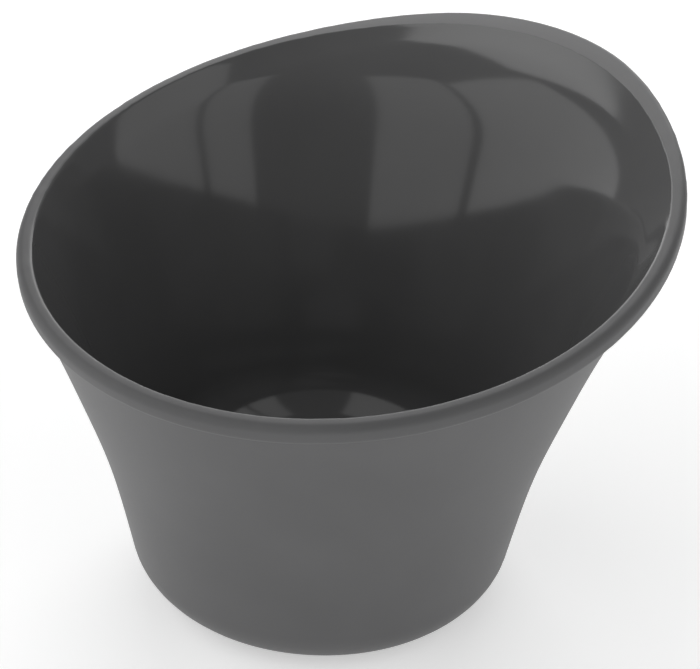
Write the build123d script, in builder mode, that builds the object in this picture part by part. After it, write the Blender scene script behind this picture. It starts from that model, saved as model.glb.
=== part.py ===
from build123d import *
import os
from math import atan, degrees

# One-piece slanted serving bowl: a round foot, a wall that flares like a trumpet,
# and a rim that follows one sloping plane, so the back stands higher than the front.
# All sizes are in millimetres. The table is Z = 0 and the low side of the rim faces -Y.

# Outer wall: radius of the turned body against height above the table.
FOOT_RADIUS = 47.0
WALL_POINTS = [
    (51.0, 20.0),
    (55.7, 40.0),
    (62.3, 60.0),
    (68.9, 78.0),
    (73.7, 89.5),
    (77.9, 97.6),
    (87.6, 106.0),
    (104.6, 112.4),
    (114.0, 115.3),
]
FOOT_EDGE_RADIUS = 13.5

# Inside of the bowl. The food side runs parallel to the outer wall.
WALL_THICKNESS = 3.5
INNER_WALL_STEPS = 9
FLOOR_HEIGHT = 12.0
FLOOR_EDGE_RADIUS = 21.0

# Hollow under the foot.
HOLLOW_RADIUS = 32.0
HOLLOW_DEPTH = 7.0
HOLLOW_TOP_RADIUS = 4.0
HOLLOW_MOUTH_RADIUS = 1.2

# Sloping rim: height of its top above the table on the turning axis, and rise per mm towards +Y.
RIM_HEIGHT_ON_AXIS = 99.6
RIM_SLOPE = 0.1474

# Bead that stands out from the wall all along the rim.
BEAD_HEIGHT = 5.0
BEAD_STAND_OUT = 1.1
BEAD_OUTLINE_STEPS = 24
BEAD_TOP_RADIUS = 2.0
BEAD_INNER_RADIUS = 1.2
BEAD_LOWER_RADIUS = 1.4

# The rim leans out further at the back, so the turning axis sits towards the front.
AXIS_Y = -16.48


def inside_point(line, fraction, distance):
    """Return the point square to a wall line, the given distance towards the inside."""
    point = line @ fraction
    direction = line % fraction
    return (point.X - distance * direction.Y, point.Y + distance * direction.X)


turning_axis = Axis((0, 0, 0), (0, 0, 1))
slope_angle = degrees(atan(RIM_SLOPE))
rim_top = Plane((0, 0, RIM_HEIGHT_ON_AXIS)).rotated((slope_angle, 0, 0))
bead_middle = rim_top.offset(-BEAD_HEIGHT / 2)
bead_bottom = rim_top.offset(-BEAD_HEIGHT)

# The solid turned body, with the rounded edge of its foot.
with BuildPart() as turned_body:
    with BuildSketch(Plane.XZ):
        with BuildLine():
            outer_wall = Spline((FOOT_RADIUS, 0), *WALL_POINTS)
            Line((0, 0), (FOOT_RADIUS, 0))
            Polyline(outer_wall @ 1, (0, WALL_POINTS[-1][1]), (0, 0))
        make_face()
    revolve(axis=turning_axis)
    foot_edge = turned_body.edges().sort_by(Axis.Z)[0]
    fillet(foot_edge, FOOT_EDGE_RADIUS)

# The space inside the bowl, reaching past the rim.
with BuildPart() as inner_space:
    with BuildSketch(Plane.XZ):
        with BuildLine():
            steps = [index / INNER_WALL_STEPS for index in range(INNER_WALL_STEPS + 1)]
            inner_points = [inside_point(outer_wall, step, WALL_THICKNESS) for step in steps]
            inner_wall = Spline(*inner_points)
            Polyline(inner_wall @ 1, (0, (inner_wall @ 1).Y), (0, (inner_wall @ 0).Y), inner_wall @ 0)
        make_face()
    revolve(axis=turning_axis)
    split(bisect_by=Plane.XY.offset(FLOOR_HEIGHT), keep=Keep.TOP)
    floor_edge = inner_space.faces().sort_by(Axis.Z)[0].edges()
    fillet(floor_edge, FLOOR_EDGE_RADIUS)

# The hollow under the foot, rounded where it meets the floor.
with BuildPart() as foot_hollow:
    Cylinder(HOLLOW_RADIUS, HOLLOW_DEPTH, align=(Align.CENTER, Align.CENTER, Align.MIN))
    hollow_top_edge = foot_hollow.faces().sort_by(Axis.Z)[-1].edges()
    fillet(hollow_top_edge, HOLLOW_TOP_RADIUS)

# Points of the bead's outer outline: the line where the sloping plane cuts the wall, moved outwards.
wall_cut_edge = section(turned_body.part, section_by=bead_middle).edges()[0]
bead_points = []
for index in range(BEAD_OUTLINE_STEPS):
    fraction = index / BEAD_OUTLINE_STEPS
    point = bead_middle.to_local_coords(wall_cut_edge @ fraction)
    outwards = Vector(point.X, point.Y).normalized()
    bead_points.append(point + outwards * BEAD_STAND_OUT)

# The bead as a full disc; the inside is taken out of it together with the bowl's.
with BuildPart() as bead_disc:
    with BuildSketch(bead_bottom):
        with BuildLine():
            Spline(*bead_points, periodic=True)
        make_face()
    extrude(amount=BEAD_HEIGHT)
    flat_faces = bead_disc.faces().filter_by(GeomType.PLANE).sort_by(Axis.Z)
    fillet(flat_faces[-1].edges(), BEAD_TOP_RADIUS)
    fillet(bead_disc.faces().filter_by(GeomType.PLANE).sort_by(Axis.Z)[0].edges(), BEAD_LOWER_RADIUS)

# The bowl itself.
with BuildPart() as bowl_on_axis:
    add(turned_body.part)
    split(bisect_by=bead_middle, keep=Keep.BOTTOM)
    add(bead_disc.part)
    add(inner_space.part, mode=Mode.SUBTRACT)
    add(foot_hollow.part, mode=Mode.SUBTRACT)
    rim_face = bowl_on_axis.faces().filter_by(GeomType.PLANE).sort_by(Axis.Z)[-1]
    inner_rim_edge = rim_face.edges().sort_by(SortBy.LENGTH)[0]
    fillet(inner_rim_edge, BEAD_INNER_RADIUS)
    foot_face = bowl_on_axis.faces().filter_by(GeomType.PLANE).sort_by(Axis.Z)[0]
    hollow_mouth_edge = foot_face.edges().sort_by(SortBy.LENGTH)[0]
    fillet(hollow_mouth_edge, HOLLOW_MOUTH_RADIUS)

# The same bowl with the middle of its outline over the origin.
with BuildPart() as serving_bowl:
    with Locations((0, AXIS_Y, 0)):
        add(bowl_on_axis.part)

os.makedirs("parts", exist_ok=True)
serving_bowl.part.label = "serving_bowl"
export_step(serving_bowl.part, "parts/serving_bowl.step")
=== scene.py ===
# %% [markdown]
# # A slanted serving bowl
#
# This lesson builds the looks of a moulded plastic serving bowl. Its foot is round, its wall flares like a
# trumpet, and its rim lies in one sloping plane, so the back stands higher than the front. The bowl is one
# piece: it is dull on the outside and glossy on the food side.
#
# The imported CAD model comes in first, as a fixed frame. The sizes are written in millimetres, as in that model,
# and are turned into metres when the points are placed. They land in the same place as the frame, so nothing
# has to be fitted afterwards.

# %% Load the frame and keep its size
from math import cos, hypot, pi, radians, sin

import bpy
import numpy as np
from mathutils import Matrix, Vector


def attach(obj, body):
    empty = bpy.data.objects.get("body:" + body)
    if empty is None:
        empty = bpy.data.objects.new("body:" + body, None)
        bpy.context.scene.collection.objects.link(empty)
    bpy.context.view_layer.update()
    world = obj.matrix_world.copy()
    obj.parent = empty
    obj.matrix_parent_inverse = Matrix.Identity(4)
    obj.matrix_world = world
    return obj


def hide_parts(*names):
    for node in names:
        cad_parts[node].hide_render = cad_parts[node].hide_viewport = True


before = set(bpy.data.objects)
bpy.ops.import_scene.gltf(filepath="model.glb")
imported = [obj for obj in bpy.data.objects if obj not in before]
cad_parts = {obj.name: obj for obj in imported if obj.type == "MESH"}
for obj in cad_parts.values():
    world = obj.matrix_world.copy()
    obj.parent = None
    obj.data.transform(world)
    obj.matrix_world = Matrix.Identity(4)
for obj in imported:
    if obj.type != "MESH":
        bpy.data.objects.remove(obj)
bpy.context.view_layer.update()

# %% [markdown]
# ## The wall line
#
# A bowl like this is turned: one line, spun round an upright axis, makes the whole outer wall. The line starts
# at the foot, goes up almost straight, and then leans out more and more. A few points are enough to hold it,
# and a smooth curve runs through them. The same few points hold the CAD model.
#
# The turning axis isn't in the middle of the bowl. The rim reaches further out at the back than at the front,
# and the frame's origin is under the middle of the outline, so the axis stands a little towards the front. Its
# place is typed in, and is the same number as in the CAD model.

# %% The points that hold the wall line
MM = 0.001
FOOT_RADIUS = 47.0
WALL_POINTS = [
    (FOOT_RADIUS, 0.0),
    (51.0, 20.0),
    (55.7, 40.0),
    (62.3, 60.0),
    (68.9, 78.0),
    (73.7, 89.5),
    (77.9, 97.6),
    (87.6, 106.0),
    (104.6, 112.4),
    (114.0, 115.3),
]
RIM_HEIGHT_ON_AXIS = 99.6
RIM_SLOPE = 0.1474
BEAD_HEIGHT = 5.0
BEAD_STAND_OUT = 1.1
AXIS_Y = -16.48

# %% [markdown]
# A natural cubic spline is the curve that a thin strip of wood takes when it is bent through the points. Its
# bending at each point comes from one small set of equations. The curve is worked out once, very finely, and
# every later step reads its points.

# %% Draw the wall line
FINE_STEPS = 1200


def bent_strip(points, count):
    """Points of a smooth line that passes through the given points, closely and evenly spread."""
    points = np.array(points, float)
    at = np.concatenate([[0.0], np.cumsum(np.hypot(*np.diff(points, axis=0).T))])
    gaps = np.diff(at)
    size = len(points)
    system = np.eye(size)
    pull = np.zeros((size, 2))
    for i in range(1, size - 1):
        system[i, i - 1:i + 2] = gaps[i - 1], 2 * (gaps[i - 1] + gaps[i]), gaps[i]
        pull[i] = 6 * ((points[i + 1] - points[i]) / gaps[i] - (points[i] - points[i - 1]) / gaps[i - 1])
    bend = np.linalg.solve(system, pull)
    where = np.linspace(0.0, at[-1], count)
    span = np.clip(np.searchsorted(at, where, side="right") - 1, 0, size - 2)
    gap = gaps[span][:, None]
    left = (at[span + 1] - where)[:, None]
    right = (where - at[span])[:, None]
    return (
        bend[span] * left**3 / (6 * gap) + bend[span + 1] * right**3 / (6 * gap)
        + (points[span] / gap - bend[span] * gap / 6) * left
        + (points[span + 1] / gap - bend[span + 1] * gap / 6) * right
    )


def moved_inwards(line, distance):
    """The line moved square to itself, towards the inside of the bowl."""
    along = np.gradient(line, axis=0)
    along /= np.hypot(*along.T)[:, None]
    return line + distance * np.stack([-along[:, 1], along[:, 0]], axis=1)


outer_line = bent_strip(WALL_POINTS, FINE_STEPS)
WALL_THICKNESS = 3.5
inner_line = moved_inwards(outer_line, WALL_THICKNESS)
print("the wall line is", round(float(np.hypot(*np.diff(outer_line, axis=0).T).sum()), 1), "mm long")

# %% [markdown]
# ## One cross-section of the wall
#
# Cut the bowl with an upright half-plane that starts at the turning axis and look at the cut face. It starts
# in the middle of the hollow under the foot, goes round the foot, climbs the outside, turns over the bead at
# the rim, comes down the food side and ends in the middle of the floor.
#
# The foot edge and the edge of the floor are rounded. A ball that rolls along such a corner touches both sides,
# and its centre is where the wall line, moved inwards by the ball's radius, is that radius above the level.

# %% The rounded edges of foot and floor
FOOT_EDGE_RADIUS = 13.5
FLOOR_HEIGHT = 12.0
FLOOR_EDGE_RADIUS = 21.0
HOLLOW_RADIUS = 32.0
HOLLOW_DEPTH = 7.0
HOLLOW_TOP_RADIUS = 4.0
HOLLOW_MOUTH_RADIUS = 1.2


def rolling_ball(line, radius, level):
    """Centre radius of the ball that touches the line and the level, and the place on the line it touches."""
    centres = moved_inwards(line, radius)
    touch = int(np.argmax(centres[:, 1] >= level + radius))
    return centres[touch, 0], touch


def arc(centre, radius, first, last, count):
    """Points on an arc, from the first to the last angle in radians, both ends included."""
    turn = np.linspace(first, last, count)
    return np.stack([centre[0] + radius * np.cos(turn), centre[1] + radius * np.sin(turn)], axis=1)


foot_ball, foot_touch = rolling_ball(outer_line, FOOT_EDGE_RADIUS, 0.0)
floor_ball, floor_touch = rolling_ball(inner_line, FLOOR_EDGE_RADIUS, FLOOR_HEIGHT)
print("the foot stands on a ring of radius", round(foot_ball, 2), "mm")
print("the flat floor ends at radius", round(floor_ball, 2), "mm")

# %% [markdown]
# The rim is the same all the way round: a bead 5 mm high that stands out from the wall by about 1 mm. What
# changes from one half-plane to the next is where the wall meets the sloping plane, and how steeply the plane
# runs outwards there. So the bead is drawn in its own small axes, one along the rim plane and one square to
# it, and each of its corners gets a small arc. The inner corner is 0.1 mm rounder than in the CAD model, and
# the 0.5 mm arc at the bead's foot isn't in that model at all.

# %% Draw the bead
BEAD_TOP_RADIUS = 2.0
BEAD_INNER_RADIUS = 1.3
BEAD_LOWER_RADIUS = 1.4
BEAD_FOOT_RADIUS = 0.5
BEAD_FOOT_ROWS, BEAD_LOWER_ROWS, BEAD_TOP_ROWS, BEAD_INNER_ROWS = 5, 7, 11, 7
WALL_LOOK_BACK = 40


def rounded_corner(before, corner, after, radius, count):
    """Points of the small arc that replaces a corner between two straight runs."""
    to_before = (before - corner) / np.hypot(*(before - corner))
    to_after = (after - corner) / np.hypot(*(after - corner))
    half = np.arccos(np.clip(to_before @ to_after, -1, 1)) / 2
    middle = (to_before + to_after) / np.hypot(*(to_before + to_after))
    centre = corner + middle * radius / sin(half)
    start = corner + to_before * radius / np.tan(half) - centre
    end = corner + to_after * radius / np.tan(half) - centre
    first = np.arctan2(start[1], start[0])
    turn = (np.arctan2(end[1], end[0]) - first + pi) % (2 * pi) - pi
    return arc(centre, radius, first, first + turn, count)


def crossing(line, origin, across, height):
    """Index of the first point of the line that is above a straight level, measured along `across`."""
    above = (line - origin) @ across >= height
    return int(np.argmax(above))


def spread(line, count):
    """The same line with a given number of points, evenly spread along it."""
    at = np.concatenate([[0.0], np.cumsum(np.hypot(*np.diff(line, axis=0).T))])
    where = np.linspace(0.0, at[-1], count)
    return np.stack([np.interp(where, at, line[:, 0]), np.interp(where, at, line[:, 1])], axis=1)


def bead_at(angle):
    """The bead's outline at an angle round the axis, and where it leaves the outer and the inner wall line."""
    rise = RIM_SLOPE * sin(angle)
    outwards = np.array([1.0, rise]) / hypot(1.0, rise)
    upwards = np.array([-rise, 1.0]) / hypot(1.0, rise)
    half_height = BEAD_HEIGHT / 2
    on_axis = np.array([0.0, RIM_HEIGHT_ON_AXIS - half_height * hypot(1.0, RIM_SLOPE)])
    middle = outer_line[crossing(outer_line, on_axis, upwards, 0.0)]
    leave = crossing(outer_line, middle, upwards, -half_height)
    arrive = crossing(inner_line, middle, upwards, half_height)
    low_corner = middle + outwards * BEAD_STAND_OUT - upwards * half_height
    top_corner = middle + outwards * BEAD_STAND_OUT + upwards * half_height
    wall_corner, inner_corner = outer_line[leave], inner_line[arrive]
    below, inside = outer_line[leave - WALL_LOOK_BACK], inner_line[arrive - WALL_LOOK_BACK]
    outline = np.concatenate([
        rounded_corner(below, wall_corner, low_corner, BEAD_FOOT_RADIUS, BEAD_FOOT_ROWS),
        rounded_corner(wall_corner, low_corner, top_corner, BEAD_LOWER_RADIUS, BEAD_LOWER_ROWS),
        rounded_corner(low_corner, top_corner, inner_corner, BEAD_TOP_RADIUS, BEAD_TOP_ROWS),
        rounded_corner(top_corner, inner_corner, inside, BEAD_INNER_RADIUS, BEAD_INNER_ROWS),
    ])
    return outline, leave, arrive


side_bead = bead_at(0.0)[0]
print("at the side of the bowl the bead's outline has", len(side_bead), "points")

# %% [markdown]
# Every half-plane gets the same number of points in the same order. That is what lets neighbouring sections
# be joined by clean four-sided faces, which a glossy surface needs: long thin triangles would show as dents in
# its reflections. The rows of the wall stop a few millimetres short of the bead, so that they don't fold back
# under its small arcs. Those two gaps are counted in points of the fine wall line, about 0.12 mm apart.

# %% Put one cross-section together
UNDER_ROWS, FOOT_ROWS, WALL_ROWS, FLOOR_ROWS = 6, 12, 70, 10
HOLLOW_TOP_ROWS, HOLLOW_MOUTH_ROWS = 9, 6
FLOOR_EDGE_ROWS = 2 * FOOT_ROWS
OUTER_GAP, INNER_GAP = 20, 60


def cross_section(angle):
    """The whole cut face at an angle round the axis, in mm: distance from the axis and height."""
    bead, leave, arrive = bead_at(angle)
    hollow_flat_end = HOLLOW_RADIUS - HOLLOW_TOP_RADIUS
    hollow_flat = np.linspace([0.0, HOLLOW_DEPTH], [hollow_flat_end, HOLLOW_DEPTH], UNDER_ROWS)
    hollow_top = arc((hollow_flat_end, HOLLOW_DEPTH - HOLLOW_TOP_RADIUS),
                     HOLLOW_TOP_RADIUS, pi / 2, 0.0, HOLLOW_TOP_ROWS)
    hollow_mouth = arc((HOLLOW_RADIUS + HOLLOW_MOUTH_RADIUS, HOLLOW_MOUTH_RADIUS),
                       HOLLOW_MOUTH_RADIUS, pi, 1.5 * pi, HOLLOW_MOUTH_ROWS)
    touch = outer_line[foot_touch]
    foot_end = np.arctan2(touch[1] - FOOT_EDGE_RADIUS, touch[0] - foot_ball)
    foot_edge = arc((foot_ball, FOOT_EDGE_RADIUS), FOOT_EDGE_RADIUS, -pi / 2, foot_end, FOOT_ROWS)
    outside = spread(np.concatenate([outer_line[foot_touch:leave - OUTER_GAP], bead[:1]]), WALL_ROWS)
    food_side = spread(np.concatenate([bead[-1:], inner_line[arrive - INNER_GAP:floor_touch:-1]]), WALL_ROWS)
    touch = inner_line[floor_touch]
    floor_start = np.arctan2(touch[1] - FLOOR_HEIGHT - FLOOR_EDGE_RADIUS, touch[0] - floor_ball)
    floor_edge = arc((floor_ball, FLOOR_HEIGHT + FLOOR_EDGE_RADIUS), FLOOR_EDGE_RADIUS,
                     floor_start, -pi / 2, FLOOR_EDGE_ROWS)
    floor = np.linspace([floor_ball, FLOOR_HEIGHT], [0.0, FLOOR_HEIGHT], FLOOR_ROWS)
    rows = [hollow_flat, hollow_top[1:], hollow_mouth, foot_edge, outside[1:], bead[1:],
            food_side[1:], floor_edge[1:], floor[1:]]
    return np.concatenate(rows)


POLISHED_BEAD_ROWS = 6
first_food_row = len(cross_section(0.0)) - (WALL_ROWS - 1) - (FLOOR_EDGE_ROWS - 1) - (FLOOR_ROWS - 1)
first_polished_row = first_food_row - POLISHED_BEAD_ROWS
print("a cross-section has", len(cross_section(0.0)), "points; the polish starts at", first_polished_row)

# %% [markdown]
# ## Spin the bowl
#
# A lathe is the natural way to make a turned wall, and Blender's Spin is a lathe: it sweeps a line round an
# axis and leaves a grid of four-sided faces. The line that is spun here is the cross-section at the side of
# the bowl, where the rim is neither high nor low.
#
# Each point remembers its row, its place along the line, in an attribute that Spin copies with it.

# %% Spin the cross-section at the side
SEGMENTS = 256
WELD_DISTANCE = 0.000002
TAU = 2 * pi


def select_nothing():
    """Leave edit mode and deselect everything, because an operator acts on all that is selected."""
    if bpy.context.object and bpy.context.object.mode != "OBJECT":
        bpy.ops.object.mode_set(mode="OBJECT")
    bpy.ops.object.select_all(action="DESELECT")


def make_active(piece):
    """Select one piece alone, so that the next operator acts on it."""
    select_nothing()
    piece.select_set(True)
    bpy.context.view_layer.objects.active = piece


def drawn_line(name, points):
    """A new piece that is one line through the points, each of which knows its row."""
    mesh = bpy.data.meshes.new(name)
    edges = [(i, i + 1) for i in range(len(points) - 1)]
    mesh.from_pydata([(radius * MM, AXIS_Y * MM, height * MM) for radius, height in points], edges, [])
    row = mesh.attributes.new("row", "FLOAT", "POINT")
    row.data.foreach_set("value", np.arange(len(points), dtype=np.float32))
    piece = bpy.data.objects.new(name, mesh)
    bpy.context.scene.collection.objects.link(piece)
    return piece


bowl = drawn_line("moulded_bowl", cross_section(0.0))
make_active(bowl)
bpy.ops.object.mode_set(mode="EDIT")
bpy.ops.mesh.select_all(action="SELECT")
bpy.ops.mesh.spin(steps=SEGMENTS, angle=TAU, center=(0, AXIS_Y * MM, 0), axis=(0, 0, 1), use_auto_merge=True)
bpy.ops.mesh.select_all(action="SELECT")
bpy.ops.mesh.remove_doubles(threshold=WELD_DISTANCE)
bpy.ops.mesh.normals_make_consistent(inside=False)
bpy.ops.object.mode_set(mode="OBJECT")
print("the level bowl has", len(bowl.data.vertices), "points and", len(bowl.data.polygons), "faces")

# %% [markdown]
# ## Slope the rim
#
# Cutting the bowl along the sloping plane would leave ragged faces along the rim. Sliding is cleaner: each
# column of points keeps its half-plane, and moves to the cross-section that belongs there. At the low side
# the rows close up, and at the high side they open, and every face keeps its four sides.

# %% Slide each column of points to its own cross-section
def values_of(mesh, name):
    """The numbers that an attribute holds, one for each point."""
    values = np.zeros(len(mesh.vertices), np.float32)
    mesh.attributes[name].data.foreach_get("value", values)
    return values


place = np.zeros(len(bowl.data.vertices) * 3)
bowl.data.vertices.foreach_get("co", place)
place = place.reshape(-1, 3)
angles = np.arctan2(place[:, 1] - AXIS_Y * MM, place[:, 0])
column = np.round(angles / TAU * SEGMENTS).astype(int) % SEGMENTS
row = np.round(values_of(bowl.data, "row")).astype(int)
sections = np.array([cross_section(TAU * i / SEGMENTS) for i in range(SEGMENTS)]) * MM
radius, height = sections[column, row].T
turned = TAU * column / SEGMENTS
place = np.stack([radius * np.cos(turned), AXIS_Y * MM + radius * np.sin(turned), height], axis=1)
bowl.data.vertices.foreach_set("co", place.ravel())
bowl.data.update()
lowest, highest = place.min(axis=0), place.max(axis=0)
print("the bowl's box, in metres:", np.round(lowest, 4), np.round(highest, 4))

# %% [markdown]
# The food side is polished and the outside is not. The polish starts on the bead's inner corner, and fades in
# over a few rows.

# %% Mark the polished side and smooth the faces
food_side = bowl.data.attributes.new("food_side", "FLOAT", "POINT")
BLEND_ROWS = 3
marks = np.clip((row - first_polished_row) / BLEND_ROWS, 0.0, 1.0).astype(np.float32)
food_side.data.foreach_set("value", marks)
make_active(bowl)
bpy.ops.object.shade_smooth()
print("points on the food side:", int((marks > 0.5).sum()), "of", len(marks))

# %% [markdown]
# ## The moulded plastic
#
# The bowl is taken to be one charcoal moulding, glossy on the food side and satin with a fine grain on the
# outside. The outside is also given a slightly paler base colour. Both colours were tuned together with the
# lights. One recipe makes both finishes, and the mark on the food side blends from one to the other.
#
# Patterns are easier to read as sums than as a web of nodes. A small class wraps a socket, so that adding or
# multiplying two of them adds the Math node, and one method places any other node.

# %% A recipe writer for materials
class Amount:
    """A number or colour that varies over a surface. Sums and products of amounts become Math nodes."""

    def __init__(self, recipe, socket):
        self.recipe = recipe
        self.socket = socket

    def math(self, operation, *others):
        sockets = {i: other for i, other in enumerate((self,) + others)}
        return self.recipe.node("ShaderNodeMath", {"operation": operation}, sockets)

    def __add__(self, other):
        return self.math("ADD", other)

    def __mul__(self, other):
        return self.math("MULTIPLY", other)

    def __sub__(self, other):
        return self.math("SUBTRACT", other)

    def __rsub__(self, other):
        return self.math("SUBTRACT", other).math("MULTIPLY", -1.0)

    __radd__ = __add__
    __rmul__ = __mul__


class Recipe:
    """One material, written as a recipe."""

    def __init__(self, name):
        self.material = bpy.data.materials.new(name)
        self.material.use_nodes = True
        self.tree = self.material.node_tree
        self.tree.nodes.clear()

    def node(self, kind, settings, sockets, output=0):
        """Place a node: its settings first, such as a ramp's two stops, then its sockets' values or links."""
        node = self.tree.nodes.new(kind)
        for name, value in settings.items():
            if name == "stops":
                for i, (position, shade) in enumerate(value):
                    stop = node.color_ramp.elements[i]
                    stop.position = position
                    stop.color = (shade, shade, shade, 1.0)
            else:
                setattr(node, name, value)
        for name, value in sockets.items():
            if isinstance(value, Amount):
                self.tree.links.new(value.socket, node.inputs[name])
            else:
                node.inputs[name].default_value = value
        return Amount(self, node.outputs[output]) if len(node.outputs) else node

    def place(self):
        return self.node("ShaderNodeTexCoord", {}, {}, "Object")

    def attribute(self, name):
        return self.node("ShaderNodeAttribute", {"attribute_name": name}, {}, "Fac")

    def noise(self, size, detail=2.0, roughness=0.5):
        """Soft blotches of about the given size in metres, from 0 to 1."""
        sockets = {"Vector": self.place(), "Scale": 1.0 / size, "Detail": detail, "Roughness": roughness}
        return self.node("ShaderNodeTexNoise", {"noise_dimensions": "3D"}, sockets, "Fac")

    def ramp(self, amount, *stops):
        return self.node("ShaderNodeValToRGB", {"stops": stops}, {"Fac": amount})

    def blend(self, amount, first, second):
        """A colour between two colours."""
        return self.node("ShaderNodeMix", {"data_type": "RGBA"}, {0: amount, 6: first, 7: second}, 2)


print("the recipe writer is ready")

# %% [markdown]
# What the recipe adds to plain plastic: the faintest clouds in an even charcoal; on the food side, faint
# smudges that dull the gloss here and there; on the outside, a grain about half a millimetre across; and on
# both sides a soft ripple, a few hundredths of a millimetre deep.

# %% Charcoal moulding
OUTSIDE_CHARCOAL = (0.100, 0.100, 0.102, 1.0)
FOOD_SIDE_CHARCOAL = (0.088, 0.088, 0.089, 1.0)
CLOUD_DEPTH = 0.08
SATIN_ROUGHNESS = 0.48
GLOSS_ROUGHNESS = 0.11
GRAIN_SIZE, RIPPLE_SIZE = 0.0005, 0.02
GRAIN_DEPTH, RIPPLE_DEPTH = 0.00001, 0.00004
GRAIN_DULLING, SMUDGE_DULLING = 0.06, 0.03
CLOUD_SIZE, SMUDGE_SIZE = 0.03, 0.045
CLOUD_STOPS = (0.35, 0.0), (0.65, 1.0)
SMUDGE_STOPS = (0.45, 0.0), (0.7, 1.0)

charcoal = Recipe("charcoal_moulding")
inside = charcoal.attribute("food_side")
clouds = charcoal.ramp(charcoal.noise(CLOUD_SIZE, 3.0), *CLOUD_STOPS)
grain = charcoal.noise(GRAIN_SIZE, 2.0, 0.6)
ripple = charcoal.noise(RIPPLE_SIZE, 1.0)
smudges = charcoal.ramp(charcoal.noise(SMUDGE_SIZE, 4.0, 0.6), *SMUDGE_STOPS)
charcoal_mix = charcoal.blend(inside, OUTSIDE_CHARCOAL, FOOD_SIDE_CHARCOAL)
shade = 1 - CLOUD_DEPTH * clouds
colour = charcoal.node("ShaderNodeVectorMath", {"operation": "SCALE"}, {0: charcoal_mix, 3: shade})
satin = SATIN_ROUGHNESS + GRAIN_DULLING * grain
gloss = GLOSS_ROUGHNESS + SMUDGE_DULLING * smudges
roughness = satin * (1 - inside) + gloss * inside
relief = GRAIN_DEPTH * grain * (1 - inside) + RIPPLE_DEPTH * ripple
bumped = charcoal.node("ShaderNodeBump", {}, {"Strength": 1.0, "Distance": 1.0, "Height": relief})
shader = charcoal.node("ShaderNodeBsdfPrincipled", {}, {
    "Base Color": colour, "Roughness": roughness, "IOR": 1.5, "Normal": bumped,
})
charcoal.node("ShaderNodeOutputMaterial", {}, {"Surface": shader})
bowl.data.materials.append(charcoal.material)
print("charcoal_moulding has", len(charcoal.tree.nodes), "nodes")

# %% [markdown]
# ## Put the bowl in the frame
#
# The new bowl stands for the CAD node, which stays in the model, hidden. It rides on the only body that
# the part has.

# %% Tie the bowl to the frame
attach(bowl, "root")
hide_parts("serving_bowl")
print("moulded_bowl stands for serving_bowl")

# %% [markdown]
# ## The studio
#
# The bowl stands on a wide white table, in an evenly lit room. The table glows a little, like lit white
# acrylic, which keeps the shadows light. The wall's gloss is a mirror, so the soft boxes are placed by what it
# shows: upright boxes to the left and to the right of the camera make two pale panels on the high back wall,
# and no box stands behind the camera, which makes the dark gap between them. Each side is two boxes with a
# narrow dark seam. A lower box stands behind the bowl, and a small one hangs above the back, to the left.

# %% Table and room
TABLE_SIZE = 8.0
TABLE_GLOW = 0.42
PAPER_ROUGHNESS = 0.9
PAPER_PATCH_SIZE = 0.4
PAPER_DARK, PAPER_PALE = (0.83, 0.83, 0.83, 1.0), (0.86, 0.86, 0.86, 1.0)
bpy.ops.mesh.primitive_plane_add(size=TABLE_SIZE, location=(0, 0, 0))
table = bpy.context.object
table.name = "table_top"
paper = Recipe("white_paper")
paper_shade = paper.blend(paper.noise(PAPER_PATCH_SIZE), PAPER_DARK, PAPER_PALE)
paper_shader = paper.node("ShaderNodeBsdfPrincipled", {}, {
    "Base Color": paper_shade, "Roughness": PAPER_ROUGHNESS,
    "Emission Color": (1.0, 1.0, 1.0, 1.0), "Emission Strength": TABLE_GLOW,
})
paper.node("ShaderNodeOutputMaterial", {}, {"Surface": paper_shader})
table.data.materials.append(paper.material)

room = bpy.data.worlds.new("white_room")
room.use_nodes = True
bpy.context.scene.world = room
ROOM_LIGHT = 0.25
room.node_tree.nodes["Background"].inputs["Color"].default_value = (1.0, 1.0, 1.0, 1.0)
room.node_tree.nodes["Background"].inputs["Strength"].default_value = ROOM_LIGHT
print("the table is", TABLE_SIZE, "m wide")

# %% [markdown]
# A box is placed by its bearing, the angle round the bowl in degrees, counted from the low side of the rim
# towards +X. An upright box fills the view between two bearings. A hanging box has a climb too, which is its
# angle above the table. Each box also has a radiance, so it keeps its brightness when its size is changed.

# %% Soft boxes
BOWL_MIDDLE = Vector((0.0, 0.0, 0.06))
BOX_DISTANCE = 1.5
BOX_LOW, BOX_HIGH, BACK_BOX_HIGH = 0.15, 3.3, 1.6


def soft_box(name, width, height, radiance):
    """A flat light whose power follows from its size and radiance. The camera doesn't see the box itself."""
    lamp = bpy.data.lights.new(name, "AREA")
    lamp.shape = "RECTANGLE"
    lamp.size, lamp.size_y, lamp.energy = width, height, radiance * pi * width * height
    stand = bpy.data.objects.new(name, lamp)
    stand.visible_camera = False
    bpy.context.scene.collection.objects.link(stand)
    return stand


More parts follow.
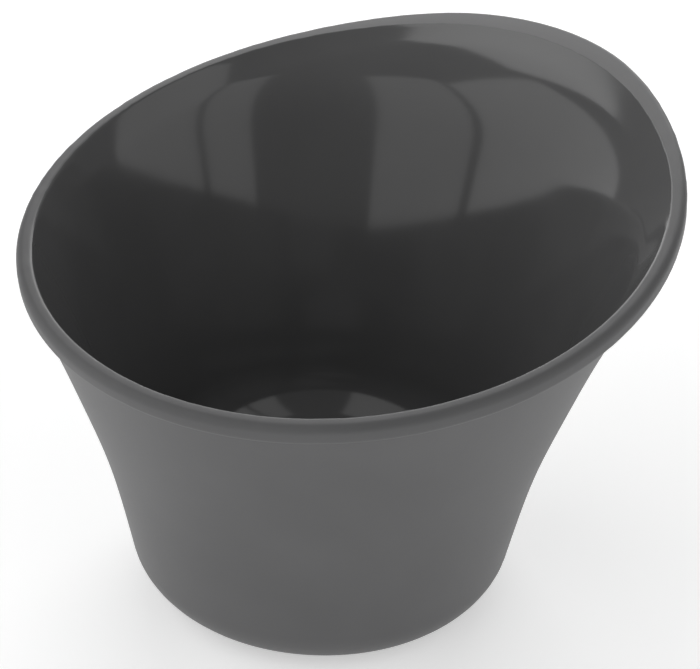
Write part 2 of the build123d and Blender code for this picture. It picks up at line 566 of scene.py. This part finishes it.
def upright_box(name, first_bearing, last_bearing, radiance, high=BOX_HIGH):
    """An upright soft box that fills the view from the bowl between two bearings, counted from the low side."""
    half = radians(last_bearing - first_bearing) / 2
    bearing = radians(first_bearing) + half
    away = Vector((sin(bearing), -cos(bearing), 0.0))
    stand = soft_box(name, 2 * BOX_DISTANCE * np.tan(half), high - BOX_LOW, radiance)
    stand.location = away * BOX_DISTANCE + Vector((0.0, 0.0, (BOX_LOW + high) / 2))
    stand.rotation_euler = away.to_track_quat("Z", "Y").to_euler()


def hanging_box(name, bearing, climb, distance, width, height, radiance):
    """A soft box that hangs above the table and faces the bowl."""
    bearing, climb = radians(bearing), radians(climb)
    away = Vector((sin(bearing) * cos(climb), -cos(bearing) * cos(climb), sin(climb)))
    stand = soft_box(name, width, height, radiance)
    stand.location = BOWL_MIDDLE + away * distance
    stand.rotation_euler = away.to_track_quat("Z", "Y").to_euler()


upright_box("left_side_box", -95, -29, 0.95)
upright_box("left_main_box", -25, 15, 0.75)
upright_box("right_main_box", 66, 86, 0.7)
upright_box("right_side_box", 89, 125, 0.75)
upright_box("back_box", -180, -125, 2.2, high=BACK_BOX_HIGH)
hanging_box("overhead_box", -131, 59, distance=1.3, width=0.55, height=0.4, radiance=1.6)
print("lights:", [light.name for light in bpy.data.lights])

# %% [markdown]
# ## The camera
#
# A long lens from about 57 cm away, a little more than thirty degrees above the table, looking at the bowl from
# the right of its low side. The camera is turned a little about its own line of sight.

# %% Camera
CAMERA_PLACE = Vector((0.26018, -0.41440, 0.36109))
CAMERA_AIM = Vector((-0.00713, 0.00561, 0.05500))
CAMERA_ROLL = 2.03
LENS_LENGTH, SENSOR_WIDTH = 115.8, 36.0
lens = bpy.data.cameras.new("studio_camera")
lens.lens = LENS_LENGTH
lens.sensor_width = SENSOR_WIDTH
camera = bpy.data.objects.new("studio_camera", lens)
facing = (CAMERA_AIM - CAMERA_PLACE).to_track_quat("-Z", "Y").to_matrix()
camera.rotation_euler = (facing @ Matrix.Rotation(radians(CAMERA_ROLL), 3, "Z")).to_euler()
camera.location = CAMERA_PLACE
bpy.context.scene.collection.objects.link(camera)
bpy.context.scene.camera = camera
bpy.context.scene.view_settings.view_transform = "Standard"
print("the camera is", round((CAMERA_PLACE - BOWL_MIDDLE).length, 3), "m from the bowl")
